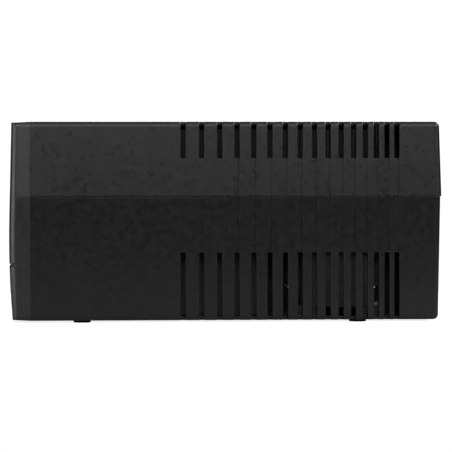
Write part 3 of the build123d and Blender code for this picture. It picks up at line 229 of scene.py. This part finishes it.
def make_finishes():
    made = {
        "case": moulded("case_black", (0.0065, 0.0065, 0.0067), 0.3, 0.5, 2200.0,
                        0.00004, 0.3, edge=0.0005),
        "bezel": moulded("bezel_black", (0.013, 0.013, 0.0133), 0.34, 0.6, strength=0.35,
                         edge=0.0013),
        "rear": moulded("panel_black", (0.012, 0.012, 0.0125), 0.42, 0.45, 420.0, 0.0002, 0.6),
        "socket": moulded("socket_black", (0.011, 0.011, 0.012), 0.32, 0.45, 1300.0,
                          0.00006, 0.3),
        "port": moulded("port_black", (0.014, 0.014, 0.015), 0.38, 0.45),
        "rubber": moulded("foot_rubber", (0.012, 0.012, 0.012), 0.75, 0.3, 700.0, 0.0002, 0.7),
        "button": moulded("button_black", (0.016, 0.016, 0.017), 0.3, 0.5, 1500.0, 0.00005, 0.25),
        "switch": moulded("switch_black", (0.02, 0.02, 0.022), 0.5, 0.4),
        "plunger": moulded("plunger_ivory", (0.55, 0.5, 0.4), 0.45, 0.5),
        "buzzer": moulded("buzzer_black", (0.012, 0.012, 0.013), 0.4, 0.45),
        "battery": moulded("battery_grey", (0.05, 0.051, 0.055), 0.5, 0.4, 600.0, 0.00015, 0.5),
        "battery_lid": moulded("battery_lid_grey", (0.022, 0.023, 0.026), 0.5, 0.4, 600.0),
        "bobbin": moulded("bobbin_nylon", (0.035, 0.035, 0.037), 0.45, 0.45, 500.0),
        "relay": moulded("relay_blue", (0.02, 0.075, 0.24), 0.35, 0.5),
        "transistor": moulded("transistor_epoxy", (0.017, 0.017, 0.018), 0.55, 0.4, 1600.0),
        "capacitor": moulded("capacitor_sleeve", (0.012, 0.02, 0.05), 0.25, 0.5, 300.0, 0.00003),
        "blade_fuse": lens("blade_fuse_amber", (0.8, 0.3, 0.03)),
        "fuse_glass": lens("fuse_glass", (0.82, 0.86, 0.84)),
        "red": insulation("red_insulation", (0.42, 0.012, 0.01)),
        "black": insulation("black_insulation", (0.012, 0.012, 0.012)),
        "brown": insulation("brown_insulation", (0.11, 0.035, 0.012)),
        "blue": insulation("blue_insulation", (0.012, 0.07, 0.3)),
        "sleeving": insulation("clear_sleeving", (0.55, 0.47, 0.3)),
        "green_lens": lens("green_lens", (0.03, 0.42, 0.09)),
        "amber_lens": lens("amber_lens", (0.75, 0.3, 0.02)),
        "red_lens": lens("red_lens", (0.55, 0.02, 0.015)),
        "spring": sheet_metal("spring_steel", (0.55, 0.55, 0.56), 0.25),
        "screw": sheet_metal("screw_zinc", (0.6, 0.61, 0.62), 0.3),
        "terminal": sheet_metal("terminal_tin", (0.7, 0.69, 0.66), 0.3),
        "clamp": sheet_metal("clamp_steel", (0.05, 0.051, 0.054), 0.42, (1.0, 0.12, 1.0)),
        "heatsink": sheet_metal("heatsink_anodised", (0.022, 0.022, 0.024), 0.42,
                                (1.0, 0.06, 1.0), metallic=0.6),
        "brass": sheet_metal("contact_brass", (0.72, 0.5, 0.2), 0.28, (1.0, 1.0, 0.1)),
        "nickel": sheet_metal("pin_nickel", (0.66, 0.64, 0.6), 0.24, (1.0, 0.15, 1.0)),
        "shell": sheet_metal("port_shell", (0.68, 0.68, 0.69), 0.26, (1.0, 0.2, 1.0)),
    }
    made["fascia"] = fascia_finish()
    made["core"] = core_finish()
    made["winding"] = winding_finish()
    made["board"] = board_finish()
    made["ribbon"] = ribbon_finish()
    made["foam"] = moulded("foam_black", (0.014, 0.014, 0.014), 0.85, 0.2, 1500.0, 0.0003, 0.8)
    made["print"] = insulation("white_print", (0.62, 0.63, 0.63))
    return made


def fascia_finish():
    """Polished black acrylic with a very faint orange peel and a few soft smears."""
    finish = Finish("fascia_gloss", roughness=0.1, specular=0.5)
    finish.colours(finish.noise(30.0, 3.0), [(0.3, (0.006, 0.006, 0.0065)),
                                             (0.75, (0.009, 0.009, 0.0095))])
    finish.vary_roughness(finish.noise(55.0, 4.0, 0.6, (1.0, 1.0, 0.35)), 0.06, 0.2)
    finish.bump(finish.noise(160.0, 2.0), 0.06, 0.0001)
    return finish.material


def core_finish():
    """The edges of a stack of silicon steel sheets, blued, with a trace of rust and varnish."""
    finish = Finish("core_laminations", roughness=0.45, metallic=0.75)
    finish.colours(finish.noise(90.0, 5.0, 0.65), [(0.25, (0.05, 0.035, 0.03)),
                                                   (0.5, (0.05, 0.05, 0.055)),
                                                   (0.8, (0.085, 0.085, 0.095))])
    finish.vary_roughness(finish.noise(150.0, 3.0), 0.35, 0.6)
    finish.bump(finish.bands(320.0, "Y"), 0.6, 0.0002)
    finish.bump(finish.noise(900.0, 2.0), 0.2, 0.00005)
    return finish.material


def winding_finish():
    """Black polyester tape over the windings: overlapped turns and wrinkles."""
    finish = Finish("winding_tape", roughness=0.3, specular=0.5)
    finish.colours(finish.noise(45.0, 4.0), [(0.3, (0.024, 0.022, 0.02)),
                                             (0.7, (0.036, 0.033, 0.03))])
    finish.vary_roughness(finish.noise(120.0, 3.0), 0.22, 0.42)
    finish.bump(finish.bands(26.0, "Z", 1.5, "SAW"), 0.35, 0.0003)
    finish.bump(finish.noise(160.0, 4.0), 0.3, 0.0003)
    return finish.material


def board_finish():
    """Green solder mask over copper: tracks show as a slightly paler, raised pattern."""
    finish = Finish("circuit_board", roughness=0.3, specular=0.5)
    tracks = finish.cells(190.0, (1.0, 0.25, 1.0))
    finish.colours(tracks, [(0.18, (0.012, 0.085, 0.03)), (0.3, (0.02, 0.13, 0.045)),
                            (0.62, (0.009, 0.06, 0.022))])
    finish.vary_roughness(finish.noise(300.0, 3.0), 0.24, 0.4)
    finish.bump(tracks, 0.25, 0.0001)
    return finish.material


def ribbon_finish():
    """A grey ribbon cable: the wires run lengthwise as fine ridges, with painted shade in the
    grooves between them and a painted highlight along their crowns.
    """
    finish = Finish("ribbon_grey", roughness=0.45, specular=0.45)
    ridges_and_painted_shade = finish.bands(250.0, "X")
    # the colour follows the ridges: painted shade in the grooves, painted highlight on the crowns
    finish.colours(ridges_and_painted_shade, [(0.2, (0.20, 0.20, 0.21)), (0.7, (0.36, 0.36, 0.37))])
    finish.vary_roughness(finish.noise(300.0, 3.0), 0.38, 0.52)
    finish.bump(ridges_and_painted_shade, 0.6, 0.0002)
    return finish.material


FINISH_OF = {
    "lower_case": "case", "upper_cover": "case", "front_bezel": "bezel", "front_fascia": "fascia",
    "rear_panel": "rear", "power_button": "button", "power_button_spring": "spring",
    "power_switch": "switch", "power_switch_plunger": "plunger", "buzzer": "buzzer",
    "display_board": "board", "main_board": "board", "display_cable": "ribbon",
    "board_screws": "screw", "case_screws": "screw", "transformer_screws": "screw",
    "battery_case": "battery", "battery_lid": "battery_lid", "battery_fuse": "blade_fuse",
    "battery_terminal_negative": "terminal", "battery_terminal_positive": "terminal",
    "battery_lead_negative": "black", "battery_lead_positive": "red",
    "transformer_core": "core", "transformer_bobbin": "bobbin", "transformer_winding": "winding",
    "transformer_clamp_left": "clamp", "transformer_clamp_right": "clamp",
    "transformer_lead_low": "sleeving", "transformer_lead_high": "sleeving",
    "heatsink_left": "heatsink", "heatsink_right": "heatsink",
    "power_transistor_left": "transistor", "power_transistor_right": "transistor",
    "relay_left": "relay", "relay_right": "relay", "capacitor": "capacitor",
    "outlet_1": "socket", "outlet_2": "socket", "outlet_3": "socket", "mains_inlet": "socket",
    "fuse_drawer": "socket", "mains_fuse": "fuse_glass", "usb_port": "shell", "data_port": "port",
    "outlet_strip_line": "brass", "outlet_strip_neutral": "brass", "outlet_strip_earth": "brass",
    "inlet_pin_line": "nickel", "inlet_pin_neutral": "nickel", "inlet_pin_earth": "nickel",
    "mains_lead_line": "brown", "mains_lead_neutral": "blue",
    "light_pipe_mains": "green_lens", "light_pipe_battery": "amber_lens",
    "light_pipe_fault": "red_lens",
    "foot_front_left": "rubber", "foot_front_right": "rubber",
    "foot_rear_left": "rubber", "foot_rear_right": "rubber",
}


def dress_nodes(finishes):
    for name, node in nodes.items():
        material = finishes[FINISH_OF[name]]
        if not node.material_slots:
            node.data.materials.append(material)
        for place in node.material_slots:
            place.material = material


# ---------------------------------------------------------------- printed marks
PRINT_SUNK = 0.00002
PRINT_PROUD = 0.00004
PRINT_STEP = 0.0004
PRINT_LINE = 0.0005
SMALL_LINE = 0.00035
OUTLET_NUMBER_RISE = 0.003
POWER_RING_RADIUS = 0.0032
POWER_RING_ENDS = (125, 415)
POWER_BAR = (0.0006, 0.0042)
SIGN_DROP = 0.0028
WAVE_HALF_LENGTH = 0.0024
WAVE_HEIGHT = 0.0011
WAVE_STEPS = 12
BATTERY_ENDS = (0.0024, 0.0018)
BATTERY_HALF_HEIGHT = 0.0012
BATTERY_TIP = 0.0025
BATTERY_TIP_HALF = 0.0005
CROSS_HALF = 0.0011
DIGIT_HALF_HEIGHT = 0.002
DIGIT_ARC_STEPS = 12


def walked(points, closed):
    """The same line with a point at least every print step."""
    ends = points[1:] + points[:1] if closed else points[1:]
    line = []
    for start, end in zip(points, ends):
        start, end = Vector(start), Vector(end)
        count = max(1, math.ceil((end - start).length / PRINT_STEP))
        line += [start.lerp(end, i / count) for i in range(count)]
    if not closed:
        line.append(Vector(points[-1]))
    return line


def arc(x, z, radius, start, end, count=24):
    turns = [math.radians(start + (end - start) * i / count) for i in range(count + 1)]
    return [(x + radius * math.cos(a), z + radius * math.sin(a)) for a in turns]


def surface_of(node):
    mesh = nodes[node].data
    corners = [v.co.copy() for v in mesh.vertices]
    return BVHTree.FromPolygons(corners, [tuple(p.vertices) for p in mesh.polygons])


def printed_mark(name, node, outward, strokes, width, material):
    """Flat printed lines on a face that looks along outward, -1 for the front and 1 for the rear.

    Each stroke is (points as (x, z), whether it is closed)."""
    surface = surface_of(node)
    shape = bmesh.new()
    for points, closed in strokes:
        line = walked(points, closed)
        sections = []
        for i, place in enumerate(line):
            before = line[i - 1] if closed or i else place
            after = line[(i + 1) % len(line)] if closed or i < len(line) - 1 else place
            along = (after - before).normalized()
            across = Vector((-along.y, along.x)) * width / 2
            corners = []
            for side, lift in ((1, -PRINT_SUNK), (-1, -PRINT_SUNK), (-1, PRINT_PROUD),
                               (1, PRINT_PROUD)):
                x, z = place + across * side
                hit = surface.ray_cast(Vector((x, outward, z)), Vector((0, -outward, 0)))[0]
                corners.append(shape.verts.new((x, hit.y + outward * lift, z)))
            sections.append(corners)
        pairs = list(zip(sections, sections[1:]))
        if closed:
            pairs.append((sections[-1], sections[0]))
        else:
            shape.faces.new(sections[0])
            shape.faces.new(sections[-1][::-1])
        for one, other in pairs:
            for k in range(4):
                shape.faces.new((one[k], other[k], other[(k + 1) % 4], one[(k + 1) % 4]))
    bmesh.ops.recalc_face_normals(shape, faces=shape.faces)
    mesh = bpy.data.meshes.new(name)
    shape.to_mesh(mesh)
    shape.free()
    mark = bpy.data.objects.new(name, mesh)
    scene.collection.objects.link(mark)
    mark.data.materials.append(material)
    return mark


def wave_sign(x, z):
    step = 2 * WAVE_HALF_LENGTH / WAVE_STEPS
    turn = 2 * math.pi / WAVE_STEPS
    wave = [(x - WAVE_HALF_LENGTH + step * i, z + WAVE_HEIGHT * math.sin(turn * i))
            for i in range(WAVE_STEPS + 1)]
    return [(wave, False)]


def battery_sign(x, z):
    left, right, half = x - BATTERY_ENDS[0], x + BATTERY_ENDS[1], BATTERY_HALF_HEIGHT
    outline = [(left, z - half), (right, z - half), (right, z + half), (left, z + half)]
    tip = [(x + BATTERY_TIP, z - BATTERY_TIP_HALF), (x + BATTERY_TIP, z + BATTERY_TIP_HALF)]
    return [(outline, True), (tip, False)]


def cross_sign(x, z):
    half = CROSS_HALF
    return [([(x - half, z - half), (x + half, z + half)], False),
            ([(x - half, z + half), (x + half, z - half)], False)]


def digit_one(x, z):
    foot = z - DIGIT_HALF_HEIGHT
    return [([(x - 0.0007, z + 0.0013), (x, z + DIGIT_HALF_HEIGHT), (x, foot)], False)]


def digit_two(x, z):
    foot = z - DIGIT_HALF_HEIGHT
    bow = arc(x, z + 0.0009, 0.0011, 170, -40, DIGIT_ARC_STEPS)
    return [(bow + [(x - 0.0012, foot), (x + 0.0013, foot)], False)]


def digit_three(x, z):
    upper = arc(x, z + 0.00095, 0.00105, 150, -90, DIGIT_ARC_STEPS)
    lower = arc(x, z - 0.00095, 0.00105, 90, -150, DIGIT_ARC_STEPS)
    return [(upper + lower[1:], False)]


def make_marks(material):
    low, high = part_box("power_button")
    x, z = (low.x + high.x) / 2, (low.z + high.z) / 2
    ring = arc(x, z, POWER_RING_RADIUS, *POWER_RING_ENDS)
    bar = [(x, z + end) for end in POWER_BAR]
    power = [(ring, False), (bar, False)]
    mark = printed_mark("power_mark", "power_button", -1, power, PRINT_LINE, material)
    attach(mark, "power_button")
    signs = {"mains": wave_sign, "battery": battery_sign, "fault": cross_sign}
    for light, sign in signs.items():
        low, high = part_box(f"light_pipe_{light}")
        strokes = sign((low.x + high.x) / 2, low.z - SIGN_DROP)
        mark = printed_mark(f"{light}_mark", "front_fascia", -1, strokes, SMALL_LINE, material)
        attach(mark, "housing")
    digits = {1: digit_one, 2: digit_two, 3: digit_three}
    for number, digit in digits.items():
        low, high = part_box(f"outlet_{number}")
        middle, above = (low.x + high.x) / 2, high.z + OUTLET_NUMBER_RISE
        strokes = [([(2 * middle - x, z) for x, z in points], closed)
                   for points, closed in digit(middle, above)]
        mark = printed_mark(f"outlet_number_{number}", "rear_panel", 1, strokes, PRINT_LINE,
                            material)
        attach(mark, "housing")


# ---------------------------------------------------------------- foam pad
PAD_INSET = 0.002
PAD_HALF_LENGTH = 0.016
PAD_GAP = 0.00005
PAD_RIBS = 7
PAD_STEPS = 56
PAD_GROOVE = 0.0004
PAD_CROWN = 0.0008
PAD_SIDE = (0.0, 0.3, 0.7, 1.0)      # shares of the height at which the sides have a point


def make_core_pad(material):
    """A ribbed foam pad between the floor and the underside of the transformer's core."""
    low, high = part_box("transformer_core")
    front, rear = low.y + PAD_INSET, high.y - PAD_INSET
    above = Vector((0.0, (front + rear) / 2, low.z - PAD_GAP))
    floor_z = surface_of("lower_case").ray_cast(above, Vector((0.0, 0.0, -1.0)))[0].z + PAD_GAP
    height = above.z - floor_z
    shape = bmesh.new()
    rings = []
    for i in range(PAD_STEPS + 1):
        share = i / PAD_STEPS
        y = front + (rear - front) * share
        sink = PAD_GROOVE * (1.0 - abs(math.cos(math.pi * PAD_RIBS * share)))
        ring = []
        for across, up in [(1, up) for up in PAD_SIDE] + [(-1, up) for up in PAD_SIDE[::-1]]:
            bulge = PAD_CROWN * math.sin(math.pi * up)
            x = across * (PAD_HALF_LENGTH + bulge)
            ring.append(shape.verts.new((x, y, floor_z + up * (height - sink))))
        rings.append(ring)
    for one, other in zip(rings, rings[1:]):
        for k in range(len(one)):
            after = (k + 1) % len(one)
            shape.faces.new((one[k], other[k], other[after], one[after]))
    shape.faces.new(rings[0])
    shape.faces.new(rings[-1][::-1])
    bmesh.ops.recalc_face_normals(shape, faces=shape.faces)
    mesh = bpy.data.meshes.new("core_pad")
    shape.to_mesh(mesh)
    shape.free()
    pad = bpy.data.objects.new("core_pad", mesh)
    scene.collection.objects.link(pad)
    pad.data.materials.append(material)
    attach(pad, "housing")


# ---------------------------------------------------------------- stage
# Each soft box: name, direction round from the camera's side towards the front and height above
# the horizon in degrees, distance, width and height in metres, and power in watts.
LIGHTS = (
    ("side_light", 0.0, 20.0, 2.2, 2.4, 0.3, 13.5),
    ("high_side_light", 0.0, 42.0, 2.2, 2.4, 0.4, 5.0),
    ("overhead_side_light", 0.0, 62.0, 2.0, 2.4, 0.6, 9.0),
    ("near_front_light", 33.0, 22.0, 2.1, 0.7, 0.4, 8.0),
    ("front_light", 90.0, 2.0, 2.1, 1.2, 0.5, 6.5),
    ("rear_corner_light", -60.0, 22.0, 2.1, 0.9, 0.5, 17.0),
    ("rear_light", -125.0, 30.0, 2.1, 1.0, 0.6, 16.0),
    ("far_light", 180.0, 24.0, 2.1, 1.8, 0.4, 14.0),
    ("top_light", 180.0, 80.0, 1.6, 2.2, 2.0, 1.5),
)
LIGHT_TARGET = Vector((0.0, 0.0, 0.07))
FLOOR_ALBEDO = 0.5
FLOOR_SEEN = 0.86
WORLD_FILL = 0.008
WORLD_SEEN = 1.05
FLOOR_HALF_WIDTH = 0.55
FLOOR_REAR = -0.5
FLOOR_FRONT = 0.32
FLOOR_CUTS = 6


def make_lights():
    for name, around, above, distance, wide, tall, power in LIGHTS:
        around, above = math.radians(around), math.radians(above)
        way = Vector((
            math.cos(above) * math.cos(around),
            -math.cos(above) * math.sin(around),
            math.sin(above),
        ))
        data = bpy.data.lights.new(name, "AREA")
        data.shape = "RECTANGLE"
        data.size = wide
        data.size_y = tall
        data.energy = power
        light = bpy.data.objects.new(name, data)
        scene.collection.objects.link(light)
        aim = (-way).to_track_quat("-Z", "Y").to_matrix().to_4x4()
        light.matrix_world = Matrix.Translation(LIGHT_TARGET + way * distance) @ aim


def brighter_to_camera(tree, seen, otherwise):
    """The strength to emit: one value where the camera looks at it, another elsewhere."""
    path = tree.nodes.new("ShaderNodeLightPath")
    pick = tree.nodes.new("ShaderNodeMapRange")
    pick.inputs["To Min"].default_value = otherwise
    pick.inputs["To Max"].default_value = seen
    tree.links.new(path.outputs["Is Camera Ray"], pick.inputs["Value"])
    return pick.outputs["Result"]


def make_floor():
    grid = bmesh.new()
    corners = [(FLOOR_FRONT, -FLOOR_HALF_WIDTH, 0), (FLOOR_FRONT, FLOOR_HALF_WIDTH, 0),
               (FLOOR_REAR, FLOOR_HALF_WIDTH, 0), (FLOOR_REAR, -FLOOR_HALF_WIDTH, 0)]
    grid.faces.new([grid.verts.new(c) for c in corners])
    bmesh.ops.subdivide_edges(grid, edges=grid.edges[:], cuts=FLOOR_CUTS, use_grid_fill=True)
    mesh = bpy.data.meshes.new("floor")
    grid.to_mesh(mesh)
    grid.free()
    floor = bpy.data.objects.new("floor", mesh)
    scene.collection.objects.link(floor)
    finish = Finish("floor_white", roughness=0.9, specular=0.0)
    finish.colours(finish.noise(6.0, 2.0), [(0.3, (FLOOR_ALBEDO,) * 3),
                                            (0.7, (FLOOR_ALBEDO * 1.04,) * 3)])
    finish.shader.inputs["Emission Color"].default_value = (1.0, 1.0, 1.0, 1.0)
    glow = brighter_to_camera(finish.tree, FLOOR_SEEN, 0.0)
    finish.link(glow, finish.shader.inputs["Emission Strength"])
    floor.data.materials.append(finish.material)


def make_world():
    """White where the camera looks past the floor, and a dim even fill for everything else."""
    world = bpy.data.worlds.new("studio")
    scene.world = world
    world.use_nodes = True
    tree = world.node_tree
    background = tree.nodes["Background"]
    background.inputs["Color"].default_value = (1.0, 1.0, 1.0, 1.0)
    strength = brighter_to_camera(tree, WORLD_SEEN, WORLD_FILL)
    tree.links.new(strength, background.inputs["Strength"])


# ---------------------------------------------------------------- build
make_camera()
finishes = make_finishes()
dress_nodes(finishes)
make_marks(finishes["print"])
make_core_pad(finishes["foam"])
make_floor()
make_world()
make_lights()
scene.view_settings.view_transform = "Standard"
